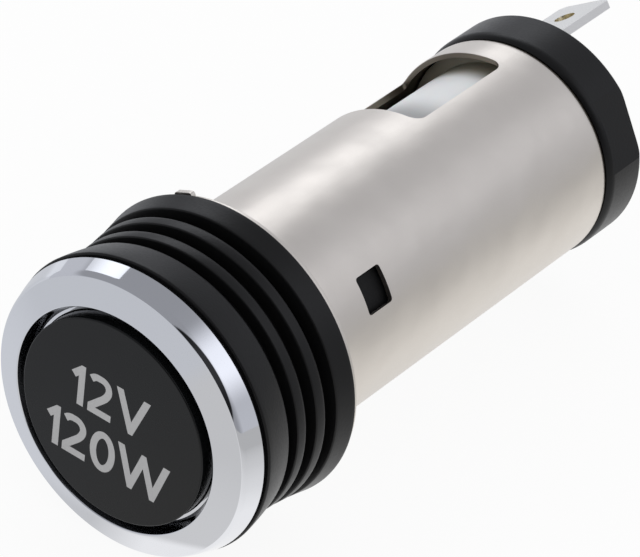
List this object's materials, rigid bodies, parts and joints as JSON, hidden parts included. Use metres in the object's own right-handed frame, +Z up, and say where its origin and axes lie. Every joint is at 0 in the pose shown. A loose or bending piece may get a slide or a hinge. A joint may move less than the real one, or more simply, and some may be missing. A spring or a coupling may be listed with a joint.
{
  "type": "car 12 volt power socket",
  "caption": "Round in-panel vehicle power socket: a flanged metal barrel with blade terminals at its rear, closed by a pull-out ribbed cover plug with a bright trim ring.",
  "frame": {"origin": "on the socket's axis, in the plane where the back of the barrel's flange seats on the panel", "axes": "+Y runs along the axis to the rear, from the face towards the terminals; +X is to the right of someone facing the plug; +Z is up"},
  "size_m": [0.0292, 0.0756, 0.0292],
  "materials": {
    "nickel_plate": "dull nickel plate on drawn steel",
    "pale_nylon": "natural nylon, as moulded",
    "contact_brass": "bare brass",
    "spring_steel": "bright spring strip",
    "tinned_brass": "tin-plated brass",
    "cap_plastic": "black moulded plastic, satin",
    "plug_plastic": "black moulded plastic, satin",
    "grip_plastic": "black moulded plastic, satin",
    "chrome_trim": "satin chrome plate on plastic",
    "disc_plastic": "black moulded plastic, fine satin"
  },
  "bodies": {
    "socket": {"barrel": "nickel_plate", "contact_holder": "pale_nylon", "centre_contact": "contact_brass", "contact_rivet": "contact_brass", "spring_washer": "spring_steel", "ground_terminal": "tinned_brass", "positive_terminal": "tinned_brass", "rear_cap": "cap_plastic"},
    "cover_plug": {"plug_body": "plug_plastic", "plug_spring_right": "spring_steel", "plug_spring_left": "spring_steel", "grip_sleeve": "grip_plastic", "trim_ring": "chrome_trim", "face_disc": "disc_plastic"}
  },
  "joints": [
    {"name": "plug_pull", "type": "slide", "parent": "socket", "child": "cover_plug", "axis": [0, -1, 0], "range_m": [0, 0.04]}
  ]
}
